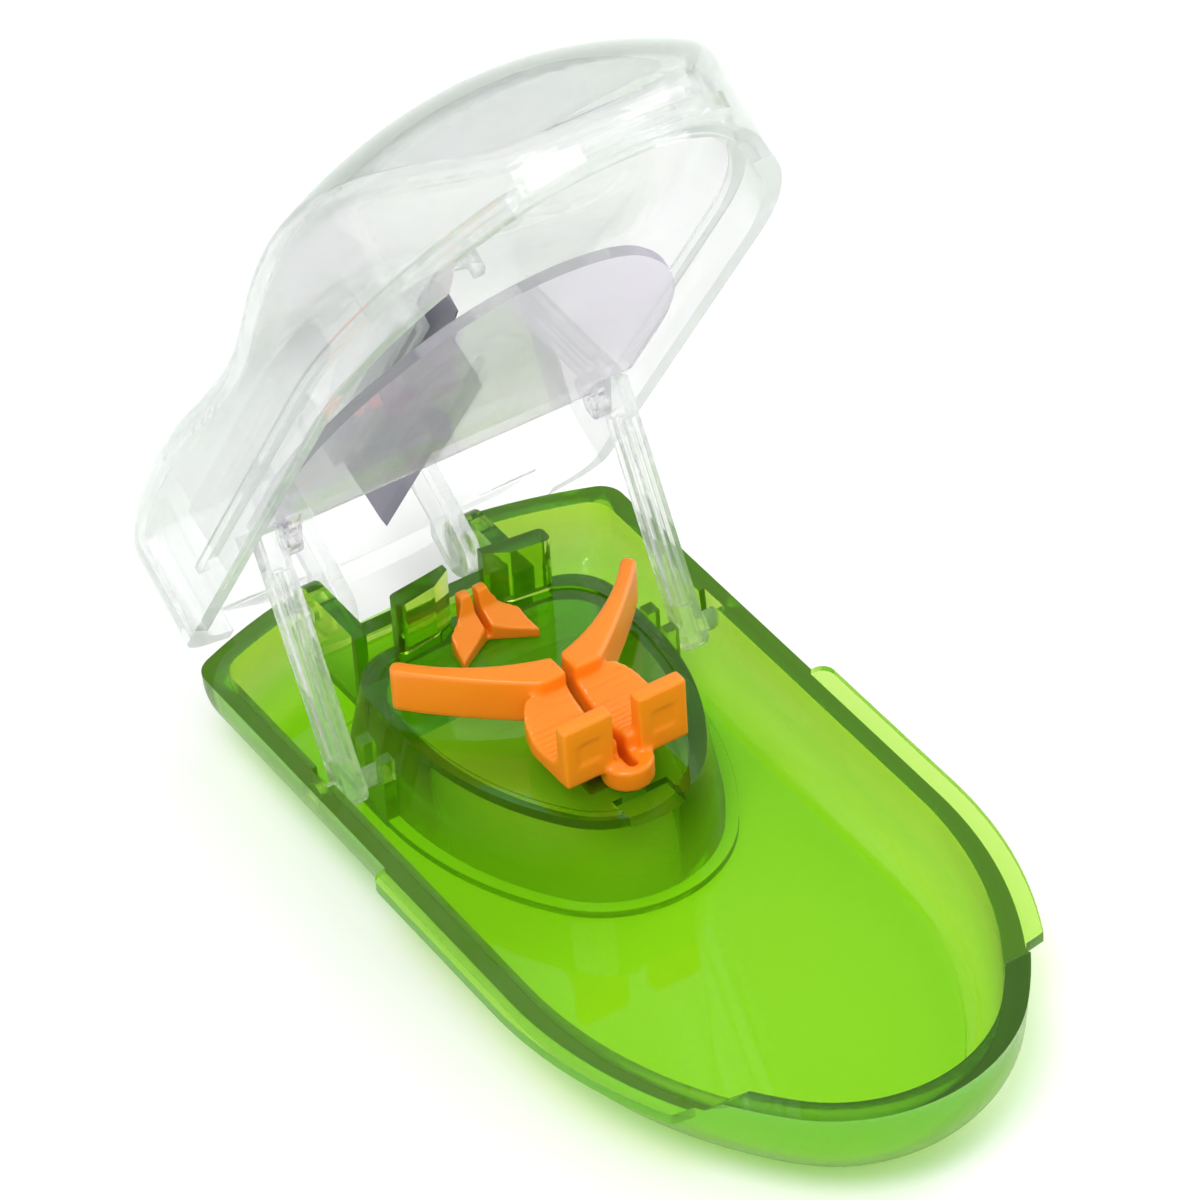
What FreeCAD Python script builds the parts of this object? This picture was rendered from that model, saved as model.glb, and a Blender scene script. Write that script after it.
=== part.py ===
"""Pill splitter: a translucent tray with a pill tower, a hinged clear lid that carries a blade, and a guard
plate that two arms push forward off the blade as the lid shuts.

Millimetres, +Z up, +Y towards the hinge, -Y towards the nose. The pieces are modelled with y = 0 at the front end
of the shut blade, and those that swing are modelled with the lid shut. They are then placed with the lid open and
the origin on the table plane, at the middle of the open splitter's length.
"""
import FreeCAD, Part
import math
import os
import Sketcher

V = FreeCAD.Vector
doc = FreeCAD.newDocument("PillSplitter")

SIZES = {
    # whole
    "origin_shift": 1.2,
    # tray
    "rim_level": 10.6,
    "half_width": 27.0,
    "shoulder_y": -19.0,
    "nose_y": -58.3,
    "nose_radius": 19.5,
    "rear_y": 50.0,
    "rear_radius": 63.6,
    "corner_radius": 3.0,
    "wall": 2.2,
    "floor_top": 2.2,
    "nose_rise": 1.9,
    "side_rim_end_y": -44.3,
    "ramp_run": 2.0,
    "flange_width": 1.7,
    "flange_thick": 1.3,
    "flange_start_y": 4.9,
    # tower
    "tower_top": 13.2,
    "tower_recess": 0.3,
    "tower_plate": 2.1,
    "tower_half": 15.7,
    "tower_shoulder_y": 18.8,
    "tower_front_y": -6.5,
    "tower_rear_y": 32.2,
    "tower_draft": 1.9,
    "tower_wall": 2.0,
    "ring_out": 3.0,
    "ring_top": 3.1,
    # backstops
    "stop_top": 21.4,
    "stop_inner_x": 2.2,
    "stop_knee_x": 4.8,
    "stop_outer_x": 9.7,
    "stop_front_y": 28.4,
    "stop_thick": 2.4,
    "stop_undercut": 14.5,
    # hinge
    "hinge_y": 46.0,
    "hinge_z": 9.4,
    "notch_half": 9.3,
    "notch_front_y": 38.0,
    "notch_wall": 2.0,
    "notch_top": 12.5,
    "ear_radius": 3.1,
    "pin_radius": 1.15,
    "bore_radius": 1.2,
    "pin_half_length": 11.2,
    "lid_open_angle": 57.0,
    # lid
    "lid_gap": 0.15,
    "lid_corner": 4.6,
    "lid_wall": 2.2,
    "roof_thick": 2.0,
    "lip_width": 3.4,
    "lip_thick": 1.9,
    "lip_half": 12.0,
    "knuckle_in": 7.0,
    "knuckle_out": 8.9,
    "knuckle_radius": 3.3,
    "relief_radius": 4.4,
    "relief_half": 20.5,
    "boss_radius": 7.2,
    "boss_wall": 1.2,
    "boss_y": 2.2,
    "boss_bottom": 24.3,
    "rail_bottom": 14.3,
    "rail_height": 1.0,
    "rail_inner_x": 23.3,
    # guard
    "arm_pivot_y": 21.0,
    "arm_pivot_z": 7.8,
    "arm_length": 27.5,
    "arm_open_angle": 116.9,
    "arm_shut_angle": 7.42,
    "arm_in": 20.4,
    "arm_out": 22.9,
    "arm_depth": 3.4,
    "arm_tail": 1.9,
    "arm_nose": 2.0,
    "arm_groove": 1.1,
    "arm_pin_radius": 1.15,
    "top_pin_radius": 0.85,
    "guard_half": 22.9,
    "guard_bottom": 12.2,
    "guard_thick": 1.2,
    "guard_rear_y": -6.95,
    "guard_nose_y": -55.3,
    "guard_shoulder_y": -21.0,
    "guard_nose_radius": 16.0,
    "ear_in": 18.5,
    "ear_out": 20.1,
    "guard_ear_radius": 1.7,
    # arm posts
    "post_in": 17.3,
    "post_out": 18.8,
    "post_front_y": 18.4,
    "post_rear_y": 23.9,
    "post_top": 11.1,
    # blade
    "blade_thick": 0.3,
    "blade_edge_z": 13.8,
    "blade_height": 11.0,
    "blade_front_y": 0.0,
    "blade_rear_y": 41.9,
    "bevel": 1.2,
    "holder_half": 1.7,
    "holder_bottom": 22.0,
    "holder_top": 26.4,
    "holder_front_y": 4.0,
    "holder_rear_y": 39.5,
    # grip
    "grip_bottom": 15.2,
    "grip_top": 20.8,
    "grip_root_front_y": 9.7,
    "grip_root_rear_y": 12.9,
    "grip_knee_x": 3.6,
    "grip_back_x": 7.9,
    "grip_back_y": 16.3,
    "grip_tip_x": 14.0,
    "grip_tip_y": 21.9,
    "grip_side_x": 15.3,
    "grip_side_y": 20.6,
    "grip_front_x": 9.7,
    "grip_front_y": 14.9,
    "pad_rear_y": 10.2,
    "pad_low": 17.5,
    "pad_low_y": 4.5,
    "pad_hollow": 0.055,
    "rib_pitch": 0.8,
    "rib_depth": 0.22,
    "slot_half": 1.5,
    "stem_half": 1.3,
    "travel": 2.2,
    "cut_slot": 1.0,
    "tab_in": 1.6,
    "tab_out": 7.6,
    "tab_bottom": 15.3,
    "tab_top": 23.1,
    "tab_front_y": -0.9,
    "tab_thick": 2.0,
}

sheet = doc.addObject("Spreadsheet::Sheet", "Sizes")
for row, (alias, value) in enumerate(SIZES.items(), start=1):
    sheet.set(f"A{row}", alias)
    sheet.set(f"B{row}", str(value))
    sheet.setAlias(f"B{row}", alias)
doc.recompute()


def size(expression):
    """The value of an expression in the sheet's names."""
    result = sheet.evalExpression(bind(expression))
    return float(getattr(result, "Value", result))


def bind(expression):
    """The expression with every sheet name written as Sizes.name."""
    words = []
    word = ""
    for letter in str(expression) + " ":
        if letter.isalnum() or letter in "_.":
            word += letter
            continue
        words.append("Sizes." + word if word in SIZES else word)
        words.append(letter)
        word = ""
    return "".join(words).strip()


# ---- sketches -------------------------------------------------------------------------------------------

def origin_plane(body, role):
    for feature in body.Origin.OriginFeatures:
        if feature.Role == role:
            return feature
    raise ValueError(role)


def new_sketch(body, name, role, offset="0"):
    """A sketch on one of the body's own origin planes, moved along the plane's normal."""
    sketch = body.newObject("Sketcher::SketchObject", name)
    sketch.AttachmentSupport = [(origin_plane(body, role), "")]
    sketch.MapMode = "FlatFace"
    sketch.setExpression("AttachmentOffset.Base.z", bind(offset))
    return sketch


def fix_point(sketch, geometry, point, place, label):
    """Ties a sketch point to two expressions of the sheet."""
    for axis, expression in zip("XY", place):
        value = size(expression)
        name = f"{label}_{axis.lower()}"
        number = sketch.addConstraint(
            Sketcher.Constraint("Distance" + axis, -1, 1, geometry, point, value))
        sketch.renameConstraint(number, name)
        sketch.setExpression("Constraints." + name, bind(expression))


def polygon(sketch, places, label="p"):
    """A closed chain of lines through points given as pairs of expressions."""
    points = [V(size(x), size(y), 0) for x, y in places]
    first = sketch.GeometryCount
    count = len(points)
    for i in range(count):
        sketch.addGeometry(Part.LineSegment(points[i], points[(i + 1) % count]), False)
    for i in range(count):
        sketch.addConstraint(
            Sketcher.Constraint("Coincident", first + i, 2, first + (i + 1) % count, 1))
    for i in range(count):
        fix_point(sketch, first + i, 1, places[i], f"{label}{i}")


def circle(sketch, x, y, radius, label="c"):
    """A circle about a point, both tied to the sheet."""
    number = sketch.addGeometry(Part.Circle(V(size(x), size(y), 0), V(0, 0, 1), size(radius)), False)
    fix_point(sketch, number, 3, (x, y), label)
    constraint = sketch.addConstraint(Sketcher.Constraint("Radius", number, size(radius)))
    sketch.renameConstraint(constraint, label + "_radius")
    sketch.setExpression(f"Constraints.{label}_radius", bind(radius))


def arc_between(centre, start, end, turn):
    """An arc about centre from start to end; turn is +1 anticlockwise, -1 clockwise."""
    radius = (start - centre).Length
    a = math.atan2(start.y - centre.y, start.x - centre.x)
    b = math.atan2(end.y - centre.y, end.x - centre.x)
    if turn < 0:
        a, b = b, a
    if b < a:
        b += 2 * math.pi
    return Part.ArcOfCircle(Part.Circle(centre, V(0, 0, 1), radius), a, b)


def teardrop(sketch, half, shoulder, nose, nose_radius, rear, rear_radius, corner):
    """The outline that tray, tower, lid and guard share: straight sides, a nose of three tangent arcs and a
    bowed rear edge with rounded corners."""
    a, ys, yn, rn = size(half), size(shoulder), size(nose), size(nose_radius)
    yr, rr, rc = size(rear), size(rear_radius), size(corner)
    depth = ys - yn
    side = (a * a + (depth - rn) ** 2 - rn * rn) / (2 * (a - rn))
    side_centre = V(a - side, ys, 0)
    nose_centre = V(0, yn + rn, 0)
    reach = (nose_centre - side_centre).normalize()
    join = nose_centre + reach * rn
    rear_centre = V(0, yr - rr, 0)
    corner_x = a - rc
    corner_centre = V(corner_x, rear_centre.y + math.sqrt((rr - rc) ** 2 - corner_x ** 2), 0)
    corner_end = corner_centre + (corner_centre - rear_centre).normalize() * rc

    def left(point):
        return V(-point.x, point.y, 0)

    side_top = V(a, corner_centre.y, 0)
    side_low = V(a, ys, 0)
    edges = [
        Part.LineSegment(side_top, side_low),
        arc_between(side_centre, side_low, join, -1),
        arc_between(nose_centre, join, left(join), -1),
        arc_between(left(side_centre), left(join), left(side_low), -1),
        Part.LineSegment(left(side_low), left(side_top)),
        arc_between(left(corner_centre), left(side_top), left(corner_end), -1),
        arc_between(rear_centre, left(corner_end), corner_end, -1),
        arc_between(corner_centre, corner_end, side_top, -1),
    ]
    for edge in edges:
        sketch.addGeometry(edge, False)
    # a line runs 1 to 2 along the outline, an arc of these runs 2 to 1
    ends = [(1, 2), (2, 1), (2, 1), (2, 1), (1, 2), (2, 1), (2, 1), (2, 1)]
    for i in range(8):
        j = (i + 1) % 8
        sketch.addConstraint(Sketcher.Constraint("Tangent", i, ends[i][1], j, ends[j][0]))
    sketch.addConstraint(Sketcher.Constraint("Vertical", 0))
    sketch.addConstraint(Sketcher.Constraint("Vertical", 4))
    fix_point(sketch, 0, 2, (half, shoulder), "right")
    fix_point(sketch, 4, 1, (f"-({half})", shoulder), "left")
    fix_point(sketch, 2, 3, ("0", f"{nose} + {nose_radius}"), "nose")
    fix_point(sketch, 6, 3, ("0", f"{rear} - ({rear_radius})"), "rear")
    radii = ((2, nose_radius, "nose_radius"), (6, rear_radius, "rear_radius"),
             (5, corner, "left_corner"), (7, corner, "right_corner"))
    for geometry, expression, name in radii:
        number = sketch.addConstraint(Sketcher.Constraint("Radius", geometry, size(expression)))
        sketch.renameConstraint(number, name)
        sketch.setExpression("Constraints." + name, bind(expression))


def tray_outline(sketch, inset, corner="corner_radius"):
    """The tray's plan outline, moved inwards."""
    teardrop(sketch, f"half_width - {inset}", "shoulder_y", f"nose_y + {inset}", f"nose_radius - {inset}",
             f"rear_y - {inset}", f"rear_radius - {inset}", corner)


def tower_outline(sketch, outset):
    """The tower's egg-shaped plan outline, moved outwards."""
    teardrop(sketch, f"tower_half + {outset}", "tower_shoulder_y", f"tower_front_y - {outset}",
             f"11 + {outset}", f"tower_rear_y + {outset}", f"150 + {outset}", "6")


# ---- features -------------------------------------------------------------------------------------------

def new_body(label):
    body = doc.addObject("PartDesign::Body", label)
    body.Label = label
    return body


def volume(body):
    doc.recompute()
    return body.Shape.Volume


def pad(body, sketch, length, midplane=False, reverse=False):
    feature = body.newObject("PartDesign::Pad", sketch.Name + "_pad")
    feature.Profile = sketch
    feature.Midplane = midplane
    feature.Reversed = reverse
    feature.setExpression("Length", bind(length))
    sketch.Visibility = False
    doc.recompute()
    return feature


def pocket(body, sketch, length, midplane=False, reverse=False):
    """Cuts a sketch out of the body and makes sure that something was cut."""
    before = volume(body)
    feature = body.newObject("PartDesign::Pocket", sketch.Name + "_pocket")
    feature.Profile = sketch
    feature.Midplane = midplane
    feature.Reversed = reverse
    feature.setExpression("Length", bind(length))
    if volume(body) >= before - 1e-6:
        raise RuntimeError(sketch.Name + " cuts nothing")
    return feature


def loft(body, kind, sketches, ruled=False):
    feature = body.newObject("PartDesign::" + kind, sketches[0].Name + "_loft")
    feature.Profile = sketches[0]
    feature.Sections = sketches[1:]
    feature.Ruled = ruled
    doc.recompute()
    return feature


def edges_where(feature, test):
    """The names of a feature's edges whose middle point passes a test."""
    names = []
    for number, edge in enumerate(feature.Shape.Edges, start=1):
        middle = edge.valueAt((edge.FirstParameter + edge.LastParameter) / 2)
        if test(middle, edge):
            names.append(f"Edge{number}")
    return names


def round_edges(body, base, names, radius):
    feature = body.newObject("PartDesign::Fillet", base.Name + "_round")
    feature.Base = (base, names)
    feature.setExpression("Radius", bind(radius))
    doc.recompute()
    return feature


def swing(body, y, z, angle, move=(0.0, 0.0)):
    """Places a body turned nose-up by angle about the X line through (y, z), then moved in Y and Z."""
    turn = FreeCAD.Rotation(V(-1, 0, 0), angle)
    placed = FreeCAD.Placement(V(0, 0, 0), turn, V(0, y, z))
    placed.Base = placed.Base + V(0, move[0], move[1])
    body.Placement = placed


MIRROR = (("right", 1), ("left", -1))


def signed(expression, sign):
    return expression if sign > 0 else f"-({expression})"


# ---- tray -----------------------------------------------------------------------------------------------

def base_tray():
    body = new_body("base_tray")
    shell = []
    for level, inset in (("0", "6.8"), ("1.3", "5.0"), ("2.8", "3.4"), ("4.8", "1.7"), ("7.2", "0.6"),
                         ("rim_level + nose_rise", "0.0")):
        sketch = new_sketch(body, f"tray_outer_{len(shell)}", "XY_Plane", level)
        tray_outline(sketch, inset)
        shell.append(sketch)
    doc.recompute()
    loft(body, "AdditiveLoft", shell)

    hollow = []
    for level, extra in (("floor_top", "4.4"), ("floor_top + 1.0", "2.8"), ("floor_top + 2.6", "1.4"),
                         ("floor_top + 5.0", "0.6"), ("rim_level + nose_rise + 1", "0.0")):
        sketch = new_sketch(body, f"tray_inner_{len(hollow)}", "XY_Plane", level)
        tray_outline(sketch, f"(wall + {extra})")
        hollow.append(sketch)
    doc.recompute()
    loft(body, "SubtractiveLoft", hollow)

    rim = new_sketch(body, "side_rim_drop", "YZ_Plane")
    polygon(rim, [
        ("side_rim_end_y", "rim_level"),
        ("rear_y + 5", "rim_level"),
        ("rear_y + 5", "rim_level + nose_rise + 2"),
        ("side_rim_end_y - ramp_run", "rim_level + nose_rise + 2"),
        ("side_rim_end_y - ramp_run", "rim_level + nose_rise"),
    ])
    pocket(body, rim, "4 * half_width", midplane=True)

    flanges = new_sketch(body, "side_flanges", "XY_Plane", "rim_level - flange_thick")
    for side, sign in MIRROR:
        flange_outline(flanges, sign)
    pad(body, flanges, "flange_thick")

    tower(body)
    hinge_notch(body)
    arm_posts(body)
    return body


def flange_outline(sketch, sign):
    """A narrow strip along the outside of one rim, following the wall into the nose."""
    a, ys = size("half_width"), size("shoulder_y")
    rn, depth = size("nose_radius"), size("shoulder_y - nose_y")
    side = (a * a + (depth - rn) ** 2 - rn * rn) / (2 * (a - rn))
    centre = V((a - side) * sign, ys, 0)
    outer, inner = side + size("flange_width"), side - 1.0
    start = size("flange_start_y")
    finish_outer, finish_inner = math.radians(-28.0), math.radians(-30.5)

    def polar(radius, angle):
        return V(centre.x + sign * radius * math.cos(angle), centre.y + radius * math.sin(angle), 0)

    corner = 1.6
    p_in = V(sign * (a - 1.0), start, 0)
    p_wall = V(sign * (a + size("flange_width") - corner), start, 0)
    p_side = V(sign * (a + size("flange_width")), start - corner, 0)
    p_round = V(p_wall.x, start - corner, 0)
    p_shoulder = polar(outer, 0.0)
    p_shoulder_in = polar(inner, 0.0)
    p_end = polar(outer, finish_outer)
    p_end_in = polar(inner, finish_inner)
    turn = -sign
    edges = [
        Part.LineSegment(p_in, p_wall),
        arc_between(p_round, p_wall, p_side, turn),
        Part.LineSegment(p_side, p_shoulder),
        arc_between(centre, p_shoulder, p_end, turn),
        Part.LineSegment(p_end, p_end_in),
        arc_between(centre, p_end_in, p_shoulder_in, -turn),
        Part.LineSegment(p_shoulder_in, p_in),
    ]
    first = sketch.GeometryCount
    for edge in edges:
        sketch.addGeometry(edge, False)
    for number in range(first, first + len(edges)):
        sketch.addConstraint(Sketcher.Constraint("Block", number))


def tower(body):
    """The egg-shaped pedestal that the pill is cut on, open underneath, with its two backstops."""
    ring = new_sketch(body, "tower_ring", "XY_Plane", "1.2")
    tower_outline(ring, "ring_out")
    pad(body, ring, "ring_top - 1.2")

    sections = []
    for level, outset in (("1.2", "tower_draft"), ("tower_top", "0.0")):
        sketch = new_sketch(body, f"tower_outer_{len(sections)}", "XY_Plane", level)
        tower_outline(sketch, outset)
        sections.append(sketch)
    doc.recompute()
    loft(body, "AdditiveLoft", sections, ruled=True)

    under = new_sketch(body, "tower_under", "XY_Plane")
    tower_outline(under, "(0 - tower_wall)")
    pocket(body, under, "tower_top - tower_recess - tower_plate", reverse=True)

    recess = new_sketch(body, "tower_recess", "XY_Plane", "tower_top - tower_recess")
    tower_outline(recess, "(0 - 1.5)")
    pocket(body, recess, "2", reverse=True)

    slot = new_sketch(body, "grip_slot", "XY_Plane", "tower_top - tower_recess - tower_plate - 1")
    polygon(slot, [("-slot_half", "1.8 - travel"), ("slot_half", "1.8 - travel"),
                   ("slot_half", "8.2 + travel"), ("-slot_half", "8.2 + travel")])
    pocket(body, slot, "tower_plate + 2", reverse=True)

    notch = new_sketch(body, "foot_notch", "XY_Plane", "tower_top - 1.2")
    polygon(notch, [("-3.4", "tower_front_y - 1"), ("3.4", "tower_front_y - 1"), ("3.4", "-2.6"), ("-3.4", "-2.6")])
    pocket(body, notch, "3", reverse=True)

    stops = new_sketch(body, "backstops", "XY_Plane", "tower_top - tower_recess - 0.5")
    for side, sign in MIRROR:
        places = [
            ("stop_outer_x", "stop_front_y"),
            ("stop_knee_x", "stop_front_y + 0.8"),
            ("stop_inner_x", "stop_front_y + 2.4"),
            ("stop_inner_x", "stop_front_y + 3.4"),
            ("stop_knee_x", "stop_front_y + stop_thick + 0.6"),
            ("stop_outer_x", "stop_front_y + stop_thick"),
        ]
        polygon(stops, [(signed(x, sign), y) for x, y in places], side)
    standing = pad(body, stops, "stop_top - tower_top + tower_recess + 0.5")
    top = size("stop_top")

    def on_top_corner(middle, edge):
        upright = abs(edge.tangentAt(edge.FirstParameter).z) > 0.9
        outer = abs(abs(middle.x) - size("stop_outer_x")) < 0.01
        return upright and outer and middle.z > size("tower_top") and middle.z < top

    round_edges(body, standing, edges_where(standing, on_top_corner), "0.8")

    undercut = new_sketch(body, "stop_undercuts", "XY_Plane", "tower_top - tower_recess")
    for side, sign in MIRROR:
        places = [("stop_knee_x - 0.6", "stop_front_y - 1"), ("stop_outer_x + 0.1", "stop_front_y - 1"),
                  ("stop_outer_x + 0.1", "stop_front_y + 0.8"), ("stop_knee_x - 0.6", "stop_front_y + 1.4")]
        polygon(undercut, [(signed(x, sign), y) for x, y in places], side)
    pocket(body, undercut, "stop_undercut - tower_top + tower_recess", reverse=True)


def hinge_notch(body):
    """A notch in the rear wall for the lid's knuckles, walled inside, with an ear each side for the pin."""
    block = new_sketch(body, "notch_block", "XY_Plane", "1.2")
    polygon(block, [("-notch_half - notch_wall", "notch_front_y - notch_wall"),
                    ("notch_half + notch_wall", "notch_front_y - notch_wall"),
                    ("notch_half + notch_wall", "rear_y - 3.4"),
                    ("-notch_half - notch_wall", "rear_y - 3.4")])
    pad(body, block, "notch_top - 1.2")

    ears = new_sketch(body, "ears", "YZ_Plane")
    circle(ears, "hinge_y", "hinge_z", "ear_radius")
    pad(body, ears, "2 * notch_half + 2 * notch_wall", midplane=True)

    opening = new_sketch(body, "notch_opening", "XY_Plane", "floor_top")
    polygon(opening, [("-notch_half", "notch_front_y"), ("notch_half", "notch_front_y"),
                      ("notch_half", "rear_y - 3.4"), ("-notch_half", "rear_y - 3.4")])
    pocket(body, opening, "30", reverse=True)
    gate = new_sketch(body, "rear_gate", "XY_Plane", "3.8")
    polygon(gate, [("-notch_half", "rear_y - 5"), ("notch_half", "rear_y - 5"),
                   ("notch_half", "rear_y + 5"), ("-notch_half", "rear_y + 5")])
    pocket(body, gate, "30", reverse=True)

    bore = new_sketch(body, "hinge_bore", "YZ_Plane")
    circle(bore, "hinge_y", "hinge_z", "bore_radius")
    pocket(body, bore, "2 * pin_half_length + 0.1", midplane=True)


def arm_posts(body):
    """Slotted posts beside the tower and blind holes in the side walls that carry the guard arms' pins."""
    posts = new_sketch(body, "arm_posts", "XY_Plane", "1.2")
    for side, sign in MIRROR:
        places = [("post_in", "post_front_y"), ("post_out", "post_front_y"),
                  ("post_out", "post_rear_y"), ("post_in", "post_rear_y")]
        polygon(posts, [(signed(x, sign), y) for x, y in places], side)
    pad(body, posts, "post_top - 1.2")

    for side, sign in MIRROR:
        cuts = (("post_slot", "post_in - 0.1", "post_out + 0.1", "bore_radius", "bore_radius", "post_top + 0.2"),
                ("pin_lead", "22.5", "25.0", "1.5", "1.9", "rim_level + 1"))
        for name, near, far, low_half, high_half, top in cuts:
            sketch = new_sketch(body, f"{name}_{side}", "YZ_Plane", near if sign > 0 else f"-({far})")
            polygon(sketch, [(f"arm_pivot_y - {low_half}", "arm_pivot_z"),
                             (f"arm_pivot_y + {low_half}", "arm_pivot_z"),
                             (f"arm_pivot_y + {high_half}", top), (f"arm_pivot_y - {high_half}", top)])
            pocket(body, sketch, f"({far}) - ({near})", reverse=True)
        for name, near, far in (("post_bore", "post_in - 0.1", "post_out + 0.1"), ("wall_bore", "22.5", "25.6")):
            bore = new_sketch(body, f"{name}_{side}", "YZ_Plane", near if sign > 0 else f"-({far})")
            circle(bore, "arm_pivot_y", "arm_pivot_z", "bore_radius")
            pocket(body, bore, f"({far}) - ({near})", reverse=True)


# ---- lid ------------------------------------------------------------------------------------------------

# where the roof is cut across: distance along Y, crown height over the rim, radius of the arch
ROOF = (
    (60.0, 0.0, 100.0),
    (50.0, 13.0, 100.0),
    (42.0, 18.2, 100.0),
    (32.0, 20.0, 98.0),
    (18.0, 20.1, 88.0),
    (4.0, 18.9, 78.0),
    (-8.0, 19.2, 68.0),
    (-18.0, 21.4, 60.0),
    (-28.0, 22.7, 57.0),
    (-38.0, 21.5, 47.0),
    (-47.0, 16.6, 38.0),
    (-54.0, 10.3, 36.0),
    (-62.0, 4.6, 40.0),
)


def roof_solid(name, drop):
    """Everything below the lid's arched roof, lowered by drop."""
    wires = []
    half = 34.0
    low = size("rim_level") - 20
    for y, crown, radius in ROOF:
        top = size("rim_level") + crown - drop
        fall = radius - math.sqrt(radius ** 2 - half ** 2)
        points = [V(-half, y, low), V(half, y, low), V(half, y, top - fall), V(-half, y, top - fall)]
        wires.append(Part.Wire([
            Part.makeLine(points[0], points[1]),
            Part.makeLine(points[1], points[2]),
            Part.Arc(points[2], V(0, y, top), points[3]).toShape(),
            Part.makeLine(points[3], points[0]),
        ]))
    feature = doc.addObject("Part::Feature", name)
    feature.Shape = Part.makeLoft(wires, True, False)
    return feature


def extrusion(sketch, name, length):
    feature = doc.addObject("Part::Extrusion", name)
    feature.Base = sketch
    feature.DirMode = "Normal"
    feature.Solid = True
    feature.setExpression("LengthFwd", bind(length))
    return feature


def free_sketch(name, level):
    sketch = doc.addObject("Sketcher::SketchObject", name)
    sketch.setExpression("Placement.Base.z", bind(level))
    return sketch


def boolean(kind, name, base, tool):
    feature = doc.addObject("Part::" + kind, name)
    feature.Base = base
    feature.Tool = tool
    doc.recompute()
    return feature


def fuse(name, shapes):
    feature = doc.addObject("Part::MultiFuse", name)
    feature.Shapes = shapes
    doc.recompute()
    return feature


def box(name, x0, x1, y0, y1, z0, z1):
    """A box between pairs of expressions."""
    feature = doc.addObject("Part::Box", name)
    feature.setExpression("Length", bind(f"({x1}) - ({x0})"))
    feature.setExpression("Width", bind(f"({y1}) - ({y0})"))
    feature.setExpression("Height", bind(f"({z1}) - ({z0})"))
    feature.setExpression("Placement.Base.x", bind(x0))
    feature.setExpression("Placement.Base.y", bind(y0))
    feature.setExpression("Placement.Base.z", bind(z0))
    return feature


def cross_rod(name, y, z, radius, x0, x1):
    """A cylinder along X."""
    feature = doc.addObject("Part::Cylinder", name)
    feature.setExpression("Radius", bind(radius))
    feature.setExpression("Height", bind(f"({x1}) - ({x0})"))
    feature.Placement = FreeCAD.Placement(V(size(x0), size(y), size(z)), FreeCAD.Rotation(V(0, 1, 0), 90))
    return feature


def side_profile(name, points, x0, x1):
    """A solid with a polygon profile in Y and Z, between two X values."""
    corners = [V(size(x0), size(y), size(z)) for y, z in points]
    face = Part.Face(Part.makePolygon(corners + corners[:1]))
    feature = doc.addObject("Part::Feature", name)
    feature.Shape = face.extrude(V(size(x1) - size(x0), 0, 0))
    return feature


def rounded(name, base, test, radius):
    feature = doc.addObject("Part::Fillet", name)
    feature.Base = base
    numbers = [int(edge[4:]) for edge in edges_where(base, test)]
    feature.Edges = [(number, radius, radius) for number in numbers]
    doc.recompute()
    return feature


def lid_envelope(name, inset, drop, low, radius):
    """The lid's solid form: the plan outline under the arched roof, rounded along its shoulder."""
    sketch = free_sketch(name + "_plan", low)
    tray_outline(sketch, inset, "lid_corner")
    prism = extrusion(sketch, name + "_prism", "40")
    doc.recompute()
    body = boolean("Common", name + "_blank", prism, roof_solid(name + "_roof", drop))
    floor = size(low)

    def shoulder(middle, edge):
        upright = abs(edge.tangentAt((edge.FirstParameter + edge.LastParameter) / 2).z) > 0.95
        return middle.z > floor + 0.5 and not upright

    return rounded(name, body, shoulder, radius)


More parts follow.
